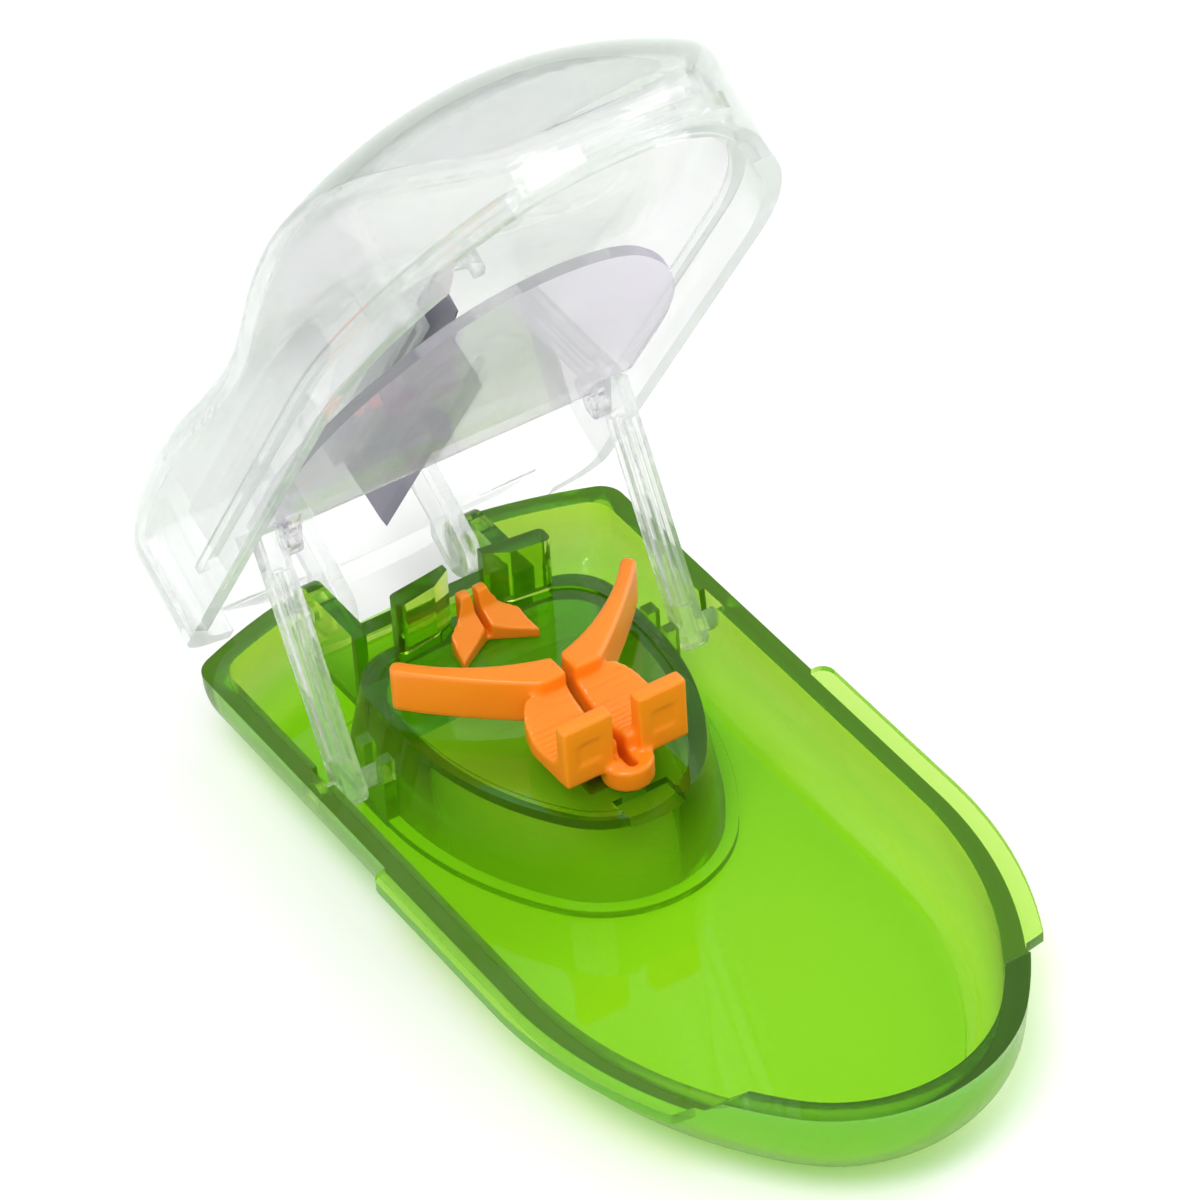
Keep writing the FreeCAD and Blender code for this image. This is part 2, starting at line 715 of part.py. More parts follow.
def lid_shell():
    outer = lid_envelope("lid_outer", "0.0", 0.0, "rim_level + lid_gap", 4.2)
    inner = lid_envelope("lid_inner", "lid_wall", size("roof_thick"), "rim_level - 1", 2.4)
    shell = boolean("Cut", "lid_hollow", outer, inner)

    nose_low = "rim_level + nose_rise + lid_gap"
    nose_cut = side_profile("nose_step", [
        ("side_rim_end_y + 0.2", "rim_level - 1"), ("side_rim_end_y + 0.2", "rim_level + lid_gap"),
        ("side_rim_end_y - ramp_run + 0.2", nose_low), ("nose_y - 10", nose_low),
        ("nose_y - 10", "rim_level - 1")], "-40", "40")
    ear_relief = cross_rod("ear_relief", "hinge_y", "hinge_z", "relief_radius", "-relief_half", "relief_half")
    wall_relief = side_profile("wall_relief", [
        ("hinge_y + 0.4", "hinge_z + 4.62"), ("hinge_y + 6", "hinge_z + 0.98"),
        ("hinge_y + 6", "hinge_z - 3"), ("hinge_y + 0.4", "hinge_z - 3")], "-relief_half", "relief_half")
    shell = boolean("Cut", "lid_cut", shell, fuse("lid_cuts", [nose_cut, ear_relief, wall_relief]))

    additions = [thumb_lip(nose_low)]
    for side, sign in MIRROR:
        low, high = ("knuckle_in", "knuckle_out") if sign > 0 else ("-knuckle_out", "-knuckle_in")
        web = side_profile(f"knuckle_web_{side}", [
            ("hinge_y - knuckle_radius", "hinge_z"), ("hinge_y + knuckle_radius", "hinge_z"),
            ("hinge_y + knuckle_radius - 0.4", "hinge_z + 9"), ("hinge_y - 1", "hinge_z + 30"),
            ("hinge_y - knuckle_radius - 2", "hinge_z + 30")], low, high)
        eye = cross_rod(f"knuckle_eye_{side}", "hinge_y", "hinge_z", "knuckle_radius", low, high)
        stub_low, stub_high = ("knuckle_in", "pin_half_length") if sign > 0 else ("-pin_half_length", "-knuckle_in")
        stub = cross_rod(f"hinge_stub_{side}", "hinge_y", "hinge_z", "pin_radius", stub_low, stub_high)
        trimmed = boolean("Common", f"knuckle_trim_{side}", web, outer_copy(f"trim_{side}"))
        additions += [trimmed, eye, stub, lower_web(side, low, high)]
        additions.append(rib(f"blade_rib_{side}", sign))
    additions += blade_boss() + [guard_ledge()]
    joined = fuse("lid_shell", [shell] + additions)
    joined.Label = "lid_shell"
    return joined


def outer_copy(name):
    """The lid's outer form again, as a fresh object to trim an addition with."""
    feature = doc.addObject("Part::Feature", name + "_form")
    feature.Shape = doc.getObject("lid_outer").Shape.copy()
    return feature


def lower_web(side, low, high):
    """The part of a knuckle between its eye and the lid's rear edge."""
    return side_profile(f"knuckle_root_{side}", [
        ("hinge_y - knuckle_radius", "hinge_z"), ("hinge_y + knuckle_radius", "hinge_z"),
        ("hinge_y + knuckle_radius - 0.2", "hinge_z + 4.6"), ("hinge_y - knuckle_radius", "hinge_z + 4.6")],
        low, high)


def rib(name, sign):
    """A rib under the roof that grips one side of the blade holder."""
    low, high = ("holder_half + 0.05", "holder_half + 1.25") if sign > 0 else \
        ("-holder_half - 1.25", "-holder_half - 0.05")
    blank = box(name + "_blank", low, high, "holder_front_y", "holder_rear_y", "holder_bottom + 0.6", "40")
    return boolean("Common", name, blank, outer_copy(name))


def blade_boss():
    """A U-shaped wall under the roof round the blade's front tab."""
    wall = Part.makeCylinder(size("boss_radius"), 40, V(0, size("boss_y"), size("boss_bottom")))
    wall = wall.cut(Part.makeCylinder(size("boss_radius - boss_wall"), 40, V(0, size("boss_y"), 0)))
    wall = wall.cut(Part.makeBox(80, 80, 80, V(-40, size("boss_y"), 0)))
    boss = doc.addObject("Part::Feature", "boss_blank")
    boss.Shape = wall
    return [boolean("Common", "blade_boss", boss, outer_copy("boss"))]


def guard_ledge():
    """A ledge round the inside of the wall that the guard plate slides under."""
    bands = []
    for name, inset in (("ledge_out", "1.0"), ("ledge_in", "(half_width - rail_inner_x)")):
        sketch = free_sketch(name + "_plan", "rail_bottom")
        tray_outline(sketch, inset, "lid_corner")
        bands.append(extrusion(sketch, name, "rail_height"))
    doc.recompute()
    ring = boolean("Cut", "ledge_ring", *bands)
    reach = box("ledge_reach", "-half_width", "half_width", "nose_y", "30", "rail_bottom",
                "rail_bottom + rail_height")
    front = boolean("Common", "ledge_front", ring, reach)
    return boolean("Common", "guard_ledge", front, outer_copy("guard_ledge"))


def thumb_lip(level):
    """The lip round the nose that a thumb lifts."""
    sketch = free_sketch("lip_plan", level)
    tray_outline(sketch, "(0 - lip_width)")
    disc = extrusion(sketch, "lip_disc", "lip_thick")
    doc.recompute()
    window = box("lip_window", "-lip_half", "lip_half", "nose_y - 10", "nose_y + 12", "0", "40")
    outer = boolean("Common", "lip_blank", disc, window)
    hollow_sketch = free_sketch("lip_hollow_plan", "rim_level")
    tray_outline(hollow_sketch, "1.0")
    hollow = extrusion(hollow_sketch, "lip_hollow", "10")
    doc.recompute()
    lip = boolean("Cut", "lip_cut", outer, hollow)

    def lip_corner(middle, edge):
        upright = abs(edge.tangentAt(edge.FirstParameter).z) > 0.95
        return upright and abs(abs(middle.x) - size("lip_half")) < 0.01 and middle.y < size("nose_y + 4")

    return rounded("thumb_lip", lip, lip_corner, 1.2)


def blade_holder():
    block = box("holder_block", "-holder_half", "holder_half", "holder_front_y", "holder_rear_y",
                "holder_bottom", "holder_top")
    slot = box("holder_slot", "-blade_thick / 2 - 0.02", "blade_thick / 2 + 0.02", "holder_front_y - 1",
               "holder_rear_y + 1", "holder_bottom - 1", "blade_edge_z + blade_height + 0.02")
    holder = boolean("Cut", "blade_holder", block, slot)
    holder.Label = "blade_holder"
    return holder


def cutting_blade():
    body = new_body("cutting_blade")
    sketch = new_sketch(body, "blade_face", "YZ_Plane")
    top = "blade_edge_z + blade_height"
    polygon(sketch, [
        ("blade_front_y", "blade_edge_z"),
        ("blade_rear_y", "blade_edge_z"),
        ("blade_rear_y + 1.7", top),
        ("blade_front_y - 2.6", top),
        ("blade_front_y - 3.6", f"{top} - 1"),
        ("blade_front_y - 3.6", f"{top} - 4.6"),
        ("blade_front_y + 1.0", f"{top} - 5.2"),
    ])
    plate = pad(body, sketch, "blade_thick", midplane=True)

    def cutting_edge(middle, edge):
        return abs(middle.z - size("blade_edge_z")) < 0.01 and edge.Length > 10

    bevel = body.newObject("PartDesign::Chamfer", "blade_bevel")
    bevel.Base = (plate, edges_where(plate, cutting_edge))
    bevel.ChamferType = "Two distances"
    bevel.setExpression("Size", bind("blade_thick / 2 - 0.02"))
    bevel.setExpression("Size2", bind("bevel"))
    doc.recompute()
    return body


# ---- guard ----------------------------------------------------------------------------------------------

def shut_joint():
    """Where the guard's pivot lies with the lid shut."""
    angle = math.radians(size("arm_shut_angle"))
    return (size("arm_pivot_y") - size("arm_length") * math.cos(angle),
            size("arm_pivot_z") + size("arm_length") * math.sin(angle))


def open_joint():
    """Where the guard's pivot lies with the lid open."""
    angle = math.radians(size("arm_open_angle"))
    return (size("arm_pivot_y") - size("arm_length") * math.cos(angle),
            size("arm_pivot_z") + size("arm_length") * math.sin(angle))


def blade_guard():
    body = new_body("blade_guard")
    plan = new_sketch(body, "guard_plan", "XY_Plane", "guard_bottom")
    teardrop(plan, "guard_half", "guard_shoulder_y", "guard_nose_y", "guard_nose_radius",
             "guard_rear_y", "2000", "1.2")
    pad(body, plan, "guard_thick")

    corners = new_sketch(body, "arm_clearance", "XY_Plane", "guard_bottom - 1")
    for side, sign in MIRROR:
        places = [("ear_out + 0.1", "guard_rear_y - 3.4"), ("guard_half + 1", "guard_rear_y - 3.4"),
                  ("guard_half + 1", "guard_rear_y + 1"), ("ear_out + 0.1", "guard_rear_y + 1")]
        polygon(corners, [(signed(x, sign), y) for x, y in places], side)
    pocket(body, corners, "guard_thick + 2", reverse=True)

    joint_y, joint_z = shut_joint()
    for side, sign in MIRROR:
        level = "ear_in" if sign > 0 else "-ear_out"
        ear = new_sketch(body, f"guard_ear_{side}", "YZ_Plane", level)
        circle(ear, str(round(joint_y, 4)), str(round(joint_z, 4)), "guard_ear_radius")
        pad(body, ear, "ear_out - ear_in")
        web = new_sketch(body, f"guard_web_{side}", "YZ_Plane", level)
        polygon(web, [(str(round(joint_y - 5.2, 4)), "guard_bottom + 0.4"),
                      (str(round(joint_y - 0.9, 4)), str(round(joint_z - 1.3, 4))),
                      (str(round(joint_y + 0.4, 4)), str(round(joint_z + 1.6, 4))),
                      ("guard_rear_y", "guard_bottom + 0.4")])
        pad(body, web, "ear_out - ear_in")
    holes = new_sketch(body, "guard_holes", "YZ_Plane")
    circle(holes, str(round(joint_y, 4)), str(round(joint_z, 4)), "top_pin_radius + 0.05")
    pocket(body, holes, "2 * ear_out + 2", midplane=True)
    return body


def guard_arm(side, sign):
    """One arm, lying forward from its pivot, grooved front and back, with a pin at each end."""
    body = new_body(f"guard_arm_{side}")
    face = new_sketch(body, f"arm_face_{side}", "YZ_Plane", "arm_in" if sign > 0 else "-arm_out")
    polygon(face, [
        ("arm_pivot_y + arm_nose", "arm_pivot_z - arm_depth / 2 + 0.8"),
        ("arm_pivot_y + arm_nose", "arm_pivot_z + arm_depth / 2 - 0.8"),
        ("arm_pivot_y + arm_nose - 0.8", "arm_pivot_z + arm_depth / 2"),
        ("arm_pivot_y - arm_length - arm_tail", "arm_pivot_z + arm_depth / 2"),
        ("arm_pivot_y - arm_length - arm_tail", "arm_pivot_z - arm_depth / 2"),
        ("arm_pivot_y + arm_nose - 0.8", "arm_pivot_z - arm_depth / 2"),
    ])
    pad(body, face, "arm_out - arm_in")
    middle = "(arm_in + arm_out) / 2"
    for level, name, back in (("arm_pivot_z + arm_depth / 2", "back", False),
                              ("arm_pivot_z - arm_depth / 2", "front", True)):
        groove = new_sketch(body, f"arm_groove_{name}_{side}", "XY_Plane", level)
        places = [(f"{middle} - 0.65", "arm_pivot_y - 3"), (f"{middle} + 0.65", "arm_pivot_y - 3"),
                  (f"{middle} + 0.65", "arm_pivot_y - arm_length + 2.6"),
                  (f"{middle} - 0.65", "arm_pivot_y - arm_length + 2.6")]
        polygon(groove, [(signed(x, sign), y) for x, y in places])
        pocket(body, groove, "arm_groove", reverse=back)
    pins = (("arm_pivot_y", "post_in", "arm_in + 0.1", "arm_pin_radius", "inner"),
            ("arm_pivot_y", "arm_out - 0.1", "25.5", "arm_pin_radius", "outer"),
            ("arm_pivot_y - arm_length", "ear_in", "arm_in + 0.1", "top_pin_radius", "top"))
    for y, near, far, radius, name in pins:
        stub = new_sketch(body, f"arm_pin_{name}_{side}", "YZ_Plane", near if sign > 0 else f"-({far})")
        circle(stub, y, "arm_pivot_z", radius)
        pad(body, stub, f"({far}) - ({near})")
    return body


# ---- soft parts -----------------------------------------------------------------------------------------

def pill_grip():
    """The front grip: two curved arms that hold the pill, two finger tabs and a stem in the tower's slot."""
    body = new_body("pill_grip")
    for side, sign in MIRROR:
        low = "cut_slot / 2" if sign > 0 else "-tab_out"
        cheek = new_sketch(body, f"grip_pad_{side}", "YZ_Plane", low)
        polygon(cheek, [("tab_front_y + 1", "grip_bottom"), ("pad_rear_y", "grip_bottom")] + ribbed_top())
        pad(body, cheek, "tab_out - cut_slot / 2")
    for side, sign in MIRROR:
        corner = new_sketch(body, f"pad_corner_{side}", "XY_Plane", "grip_bottom - 1")
        places = [("tab_out + 0.2", "5.2"), ("tab_out - 0.1", "6.4"), ("tab_out - 0.7", "8.4"),
                  ("tab_out - 1.6", "9.9"), ("tab_out - 2.9", "pad_rear_y + 0.5"),
                  ("tab_out + 2", "pad_rear_y + 0.5"), ("tab_out + 2", "5.2")]
        polygon(corner, [(signed(x, sign), y) for x, y in places])
        pocket(body, corner, "grip_top - grip_bottom + 2", reverse=True)

    arms = new_sketch(body, "grip_arms", "XY_Plane", "grip_bottom")
    for side, sign in MIRROR:
        grip_arm_outline(arms, sign)
    pad(body, arms, "grip_top - grip_bottom")
    for side, sign in MIRROR:
        tab = new_sketch(body, f"grip_tab_{side}", "XY_Plane", "tab_bottom")
        places = [("tab_in", "tab_front_y"), ("tab_out", "tab_front_y"), ("tab_out", "tab_front_y + tab_thick"),
                  ("tab_in", "tab_front_y + tab_thick")]
        polygon(tab, [(signed(x, sign), y) for x, y in places])
        pad(body, tab, "tab_top - tab_bottom")

    bridge = new_sketch(body, "grip_bridge", "XY_Plane", "tower_top + 0.1")
    polygon(bridge, [("-2.2", "-1.5"), ("2.2", "-1.5"), ("2.2", "9"), ("-2.2", "9")])
    pad(body, bridge, "2.8")
    foot = new_sketch(body, "grip_foot", "XY_Plane", "tower_top + 0.1")
    circle(foot, "0", "-0.5", "2.9")
    pad(body, foot, "2.8")
    slit = new_sketch(body, "blade_slit", "XY_Plane", "tower_top + 0.45")
    polygon(slit, [("-cut_slot / 2", "-2.1"), ("cut_slot / 2", "-2.1"), ("cut_slot / 2", "20"),
                   ("-cut_slot / 2", "20")])
    pocket(body, slit, "12", reverse=True)
    stem = new_sketch(body, "grip_stem", "XY_Plane", "tower_top - tower_recess - tower_plate - 1.6")
    polygon(stem, [("-stem_half", "2"), ("stem_half", "2"), ("stem_half", "8"), ("-stem_half", "8")])
    pad(body, stem, "tower_recess + tower_plate + 1.9")
    head = new_sketch(body, "grip_head", "XY_Plane", "tower_top - tower_recess - tower_plate - 1.7")
    polygon(head, [("-3.2", "2"), ("3.2", "2"), ("3.2", "8"), ("-3.2", "8")])
    pad(body, head, "1.5")

    for side, sign in MIRROR:
        low = "tab_in + 1.5" if sign > 0 else "-tab_out + 1.5"
        dish = new_sketch(body, f"tab_dish_{side}", "YZ_Plane", low)
        polygon(dish, [("tab_front_y - 1", "tab_bottom + 2.3"), ("tab_front_y + 0.2", "tab_bottom + 2.5"),
                       ("tab_front_y + 0.2", "tab_top - 2.5"), ("tab_front_y - 1", "tab_top - 2.3")])
        pocket(body, dish, "tab_out - tab_in - 3", reverse=True)
    return body


def ribbed_top():
    """The hollow top of a pad from its root to the finger tab, crossed by fine ribs, as places in Y and Z."""
    places = []
    for step in range(23):
        y = f"pad_rear_y - {step} * rib_pitch / 2"
        places.append((y, f"pad_low + pad_hollow * ({y} - pad_low_y) ^ 2 - {step % 2} * rib_depth"))
    places.append(("tab_front_y + 1", places[-1][1]))
    return places


def grip_arm_outline(sketch, sign):
    """One curved arm in plan: a root at the slot, a concave face to the pill and a rounded tip."""
    def place(x, y):
        return V(sign * size(x), size(y), 0)

    root_front = place("cut_slot / 2", "grip_root_front_y")
    root_rear = place("cut_slot / 2", "grip_root_rear_y")
    tip = place("grip_tip_x", "grip_tip_y")
    side = place("grip_side_x", "grip_side_y")
    knee = place("grip_knee_x", "grip_root_front_y")
    edges = [
        Part.Arc(root_rear, place("grip_back_x", "grip_back_y"), tip),
        Part.Arc(tip, place("grip_side_x - 0.25", "grip_tip_y - 0.1"), side),
        Part.Arc(side, place("grip_front_x", "grip_front_y"), knee),
        Part.LineSegment(knee, root_front),
        Part.LineSegment(root_front, root_rear),
    ]
    first = sketch.GeometryCount
    for edge in edges:
        sketch.addGeometry(edge, False)
    for number in range(first, first + len(edges)):
        sketch.addConstraint(Sketcher.Constraint("Block", number))


def rear_cradle():
    """The soft cradle between the backstops: a slit V whose wings fall away from a short upright tab."""
    body = new_body("rear_cradle")
    wings = new_sketch(body, "cradle_wings", "XY_Plane", "tower_top - tower_recess + 0.05")
    polygon(wings, [("-4.9", "23.9"), ("0", "26.9"), ("4.9", "23.9"), ("4.3", "27.4"), ("1.8", "29.1"),
                    ("1.8", "30.5"), ("-1.8", "30.5"), ("-1.8", "29.1"), ("-4.3", "27.4")])
    pad(body, wings, "5.2")
    slope = new_sketch(body, "cradle_slope", "YZ_Plane")
    polygon(slope, [("23", "tower_top + 0.8"), ("26", "tower_top + 1.5"), ("28.4", "tower_top + 2.9"),
                    ("29.6", "tower_top + 6"), ("23", "tower_top + 6")])
    pocket(body, slope, "20", midplane=True)
    slit = new_sketch(body, "cradle_slit", "XZ_Plane")
    polygon(slit, [("-0.4", "tower_top + 0.35"), ("0.4", "tower_top + 0.35"), ("0.4", "25"), ("-0.4", "25")])
    pocket(body, slit, "80", midplane=True)
    return body


# ---- assembly -------------------------------------------------------------------------------------------

def build():
    open_angle = size("lid_open_angle")
    hinge = size("hinge_y"), size("hinge_z")
    pieces = [base_tray(), rear_cradle(), pill_grip()]
    for piece in (lid_shell(), blade_holder(), cutting_blade()):
        swing(piece, *hinge, open_angle)
        pieces.append(piece)
    for side, sign in MIRROR:
        arm = guard_arm(side, sign)
        swing(arm, size("arm_pivot_y"), size("arm_pivot_z"), size("arm_open_angle"))
        pieces.append(arm)
    guard = blade_guard()
    shut, opened = shut_joint(), open_joint()
    swing(guard, shut[0], shut[1], open_angle, (opened[0] - shut[0], opened[1] - shut[1]))
    pieces.append(guard)
    for piece in pieces:
        piece.Placement.Base = piece.Placement.Base - V(0, size("origin_shift"), 0)
    doc.recompute()
    return pieces


pieces = build()
for thing in doc.Objects:
    if "Invalid" in thing.State or "Error" in thing.State:
        raise RuntimeError(f"{thing.Label}: {thing.State}")
for piece in pieces:
    if piece.Shape.isNull() or not piece.Shape.isValid():
        raise RuntimeError(f"{piece.Label} has no valid shape")
os.makedirs("parts", exist_ok=True)
for piece in pieces:
    piece.Shape.exportStep(f"parts/{piece.Label}.step")
    print(piece.Label, round(piece.Shape.Volume, 1), len(piece.Shape.Solids))
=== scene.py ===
import math

import bpy
import numpy as np
from mathutils import Matrix, Vector


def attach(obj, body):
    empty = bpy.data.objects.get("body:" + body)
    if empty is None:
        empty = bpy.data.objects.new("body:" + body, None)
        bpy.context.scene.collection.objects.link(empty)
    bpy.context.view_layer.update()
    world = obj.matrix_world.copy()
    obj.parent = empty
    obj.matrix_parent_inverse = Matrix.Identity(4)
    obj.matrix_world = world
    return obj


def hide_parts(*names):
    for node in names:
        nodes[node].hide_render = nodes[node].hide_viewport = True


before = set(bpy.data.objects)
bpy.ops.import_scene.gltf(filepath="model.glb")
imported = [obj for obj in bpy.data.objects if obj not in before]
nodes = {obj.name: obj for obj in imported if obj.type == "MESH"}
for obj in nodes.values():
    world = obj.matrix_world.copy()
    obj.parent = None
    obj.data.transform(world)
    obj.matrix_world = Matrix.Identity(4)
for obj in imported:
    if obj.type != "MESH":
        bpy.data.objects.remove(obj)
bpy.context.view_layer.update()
scene = bpy.context.scene

WHITE = (1, 1, 1, 1)


# ---- node trees ----------------------------------------------------------------------------------

class Nodes:
    """A small helper that builds the node tree of a material or of the world."""

    def __init__(self, owner, output="ShaderNodeOutputMaterial"):
        owner.use_nodes = True
        self.owner = owner
        self.tree = owner.node_tree
        self.tree.nodes.clear()
        self.output = self.add(output)

    def add(self, kind, inputs=None, **settings):
        """A new node with the given settings and input values."""
        node = self.tree.nodes.new(kind)
        for key, value in settings.items():
            setattr(node, key, value)
        for key, value in (inputs or {}).items():
            node.inputs[key].default_value = value
        return node

    def link(self, source, target):
        self.tree.links.new(source, target)

    def noise(self, scale, detail=2.0, stretch=None):
        """Noise in the object's own coordinates, squeezed by stretch along each axis."""
        vector = self.add("ShaderNodeTexCoord").outputs["Object"]
        if stretch:
            mapping = self.add("ShaderNodeMapping", {"Scale": stretch})
            self.link(vector, mapping.inputs["Vector"])
            vector = mapping.outputs["Vector"]
        noise = self.add("ShaderNodeTexNoise", {"Scale": scale, "Detail": detail})
        self.link(vector, noise.inputs["Vector"])
        return noise.outputs["Fac"]

    def height(self, coordinates="Object"):
        """The Z part of the given texture coordinates."""
        place = self.add("ShaderNodeTexCoord")
        split = self.add("ShaderNodeSeparateXYZ")
        self.link(place.outputs[coordinates], split.inputs["Vector"])
        return split.outputs["Z"]

    def ramp(self, value, low, high, start=0.0, end=1.0):
        """Goes from low to high as the value goes from start to end."""
        node = self.add("ShaderNodeMapRange", {
            "From Min": start, "From Max": end, "To Min": low, "To Max": high,
        })
        self.link(value, node.inputs["Value"])
        return node.outputs["Result"]

    def calculate(self, operation, *values):
        """The result of an operation, such as MULTIPLY, on other nodes' outputs."""
        node = self.add("ShaderNodeMath", operation=operation)
        for value, socket in zip(values, node.inputs):
            self.link(value, socket)
        return node.outputs["Value"]

    def mix(self, factor, a, b):
        """A colour between a and b."""
        node = self.add("ShaderNodeMix", data_type="RGBA")
        self.link(factor, node.inputs["Factor"])
        node.inputs["A"].default_value = (*a, 1)
        node.inputs["B"].default_value = (*b, 1)
        return node.outputs["Result"]

    def mix_shaders(self, factor, first, second):
        """A mix of two shaders. The factor is a number or another node's output."""
        node = self.add("ShaderNodeMixShader")
        if isinstance(factor, float):
            node.inputs["Fac"].default_value = factor
        else:
            self.link(factor, node.inputs["Fac"])
        self.link(first, node.inputs[1])
        self.link(second, node.inputs[2])
        return node.outputs["Shader"]

    def bump(self, height, strength, distance):
        node = self.add("ShaderNodeBump", {"Strength": strength, "Distance": distance})
        self.link(height, node.inputs["Height"])
        return node.outputs["Normal"]


# ---- materials -----------------------------------------------------------------------------------

FLOW_SCALE, FLOW_DETAIL = 55.0, 3.0        # broad clouds in the skin's gloss and haze
RIPPLE_SCALE, RIPPLE_DETAIL = 240.0, 2.0   # small waves left by moulding
RIPPLE_STRENGTH, RIPPLE_DEPTH = 0.02, 0.0001
CLEAR_ROUGHNESS = (0.008, 0.04)
GRAZING_START = 0.45                       # how far the surface turns away before the haze thickens into painted edge shade
HAZE_CLOUDS = (0.85, 1.15)                 # how the clouds thin and thicken the haze
GLOW_START, GLOW_END = 0.0035, 0.0125      # heights over which the glow from the table fades out


def clear_plastic(
        name, haze, haze_share, edge_shade, edge_shade_share, body, density, ior, straight=0.0, table_glow_share=0.0):
    """Moulded see-through plastic: a glossy skin, haze, and colour from the plastic's depth.

    haze and rim are the haze's colours face on and at grazing angles, and their shares say how
    much of it there is. rim is painted shade: a darker colour, tinted like the plastic, that
    stands in for the shade of edges seen through much plastic. body and density colour the
    light that crosses the plastic. straight is the share of that light that isn't bent.
    table_glow_share is painted glow near the table: extra haze that stands in for light scattered
    by the table glowing through the plastic.
    """
    n = Nodes(bpy.data.materials.new(name))
    flow = n.noise(FLOW_SCALE, FLOW_DETAIL)
    ripple = n.noise(RIPPLE_SCALE, RIPPLE_DETAIL)
    skin = n.add("ShaderNodeBsdfPrincipled", {
        "Base Color": WHITE, "Transmission Weight": 1.0, "IOR": ior,
    })
    n.link(n.ramp(flow, *CLEAR_ROUGHNESS), skin.inputs["Roughness"])
    n.link(n.bump(ripple, RIPPLE_STRENGTH, RIPPLE_DEPTH), skin.inputs["Normal"])
    unbent = n.add("ShaderNodeBsdfTransparent")
    clear_part = n.mix_shaders(straight, skin.outputs["BSDF"], unbent.outputs["BSDF"])

    facing = n.add("ShaderNodeLayerWeight", {"Blend": 0.5})
    grazing = n.ramp(facing.outputs["Facing"], 0.0, 1.0, GRAZING_START)
    dull = n.add("ShaderNodeBsdfDiffuse")
    # Painted shade: towards grazing angles the haze turns to the darker rim colour.
    n.link(n.mix(grazing, haze, edge_shade), dull.inputs["Color"])
    # Painted glow: more haze low down, standing in for light that the table scatters into the
    # plastic.
    glow = n.ramp(n.height(), table_glow_share, 0.0, GLOW_START, GLOW_END)
    clouds = n.ramp(flow, *HAZE_CLOUDS)
    share = n.calculate("MULTIPLY_ADD", clouds, n.ramp(grazing, haze_share, edge_shade_share), glow)
    hazy = n.mix_shaders(share, clear_part, dull.outputs["BSDF"])

    # Shadow rays go straight through, so that the plastic doesn't darken what it covers.
    through = n.add("ShaderNodeBsdfTransparent")
    path = n.add("ShaderNodeLightPath")
    surface = n.mix_shaders(path.outputs["Is Shadow Ray"], hazy, through.outputs["BSDF"])
    n.link(surface, n.output.inputs["Surface"])
    inside = n.add("ShaderNodeVolumeAbsorption", {"Color": (*body, 1), "Density": density})
    n.link(inside.outputs["Volume"], n.output.inputs["Volume"])
    return n.owner


CLOUD_SCALE, CLOUD_DETAIL = 90.0, 4.0      # slow changes of colour and gloss in the soft plastic
GRAIN_SCALE, GRAIN_DETAIL = 2600.0, 3.0    # its fine satin grain
GRAIN_STRENGTH, GRAIN_DEPTH = 0.25, 0.00006
SMOOTHER, ROUGHER = 0.05, 0.08             # how far its roughness strays each way
BLEED = {                                  # light that enters the skin, and a thin gloss over it
    "Subsurface Weight": 0.25,
    "Subsurface Radius": (0.004, 0.0012, 0.0004),
    "Subsurface Scale": 0.6,
    "Coat Weight": 0.08,
    "Coat Roughness": 0.25,
}


def soft_plastic(name, light, dark, rough):
    """Opaque soft moulding with a satin skin and a little light bleeding through."""
    n = Nodes(bpy.data.materials.new(name))
    cloud = n.noise(CLOUD_SCALE, CLOUD_DETAIL)
    grain = n.noise(GRAIN_SCALE, GRAIN_DETAIL)
    skin = n.add("ShaderNodeBsdfPrincipled", BLEED)
    n.link(n.mix(cloud, dark, light), skin.inputs["Base Color"])
    n.link(n.ramp(cloud, rough - SMOOTHER, rough + ROUGHER), skin.inputs["Roughness"])
    n.link(n.bump(grain, GRAIN_STRENGTH, GRAIN_DEPTH), skin.inputs["Normal"])
    n.link(skin.outputs["BSDF"], n.output.inputs["Surface"])
    return n.owner


MARK_SCALE, MARK_STRETCH = 30.0, (1, 20, 400)   # thin marks that run level with the lid open
STEEL_ROUGHNESS = (0.3, 0.5)
TINT_SCALE = 60.0
SLATE_BLUE, PALE_GREY = (0.06, 0.07, 0.13), (0.36, 0.33, 0.37)


def blade_steel(name):
    """Blade steel with thin grinding marks and random patches of dark slate blue and pale grey."""
    n = Nodes(bpy.data.materials.new(name))
    marks = n.noise(MARK_SCALE, stretch=MARK_STRETCH)
    skin = n.add("ShaderNodeBsdfPrincipled", {"Metallic": 1.0})
    n.link(n.mix(n.noise(TINT_SCALE), SLATE_BLUE, PALE_GREY), skin.inputs["Base Color"])
    n.link(n.ramp(marks, *STEEL_ROUGHNESS), skin.inputs["Roughness"])
    n.link(skin.outputs["BSDF"], n.output.inputs["Surface"])
    return n.owner


# The rim colours below are painted edge shade, tinted like each plastic.
# table_glow_share on the green plastic is painted glow from the table.
green = clear_plastic(
    "green_clear",
    haze=(0.38, 0.88, 0.012), haze_share=0.06, edge_shade=(0.12, 0.2, 0.08), edge_shade_share=0.3,
    body=(0.72, 0.89, 0.0), density=900.0, ior=1.47, table_glow_share=0.3)
clear = clear_plastic(
    "lid_clear",
    haze=(0.84, 0.87, 0.86), haze_share=0.085, edge_shade=(0.66, 0.86, 0.70), edge_shade_share=0.22,
    body=(0.2, 0.6, 0.4), density=3.0, ior=1.46, straight=0.3)
violet = clear_plastic(
    "guard_clear",
    haze=(0.84, 0.82, 0.88), haze_share=0.08, edge_shade=(0.62, 0.5, 0.84), edge_shade_share=0.4,
    body=(0.3, 0.12, 0.5), density=10.0, ior=1.42, straight=0.3)
orange = soft_plastic("orange_soft", light=(1.0, 0.31, 0.010), dark=(0.92, 0.22, 0.006), rough=0.3)
steel = blade_steel("blade_steel")

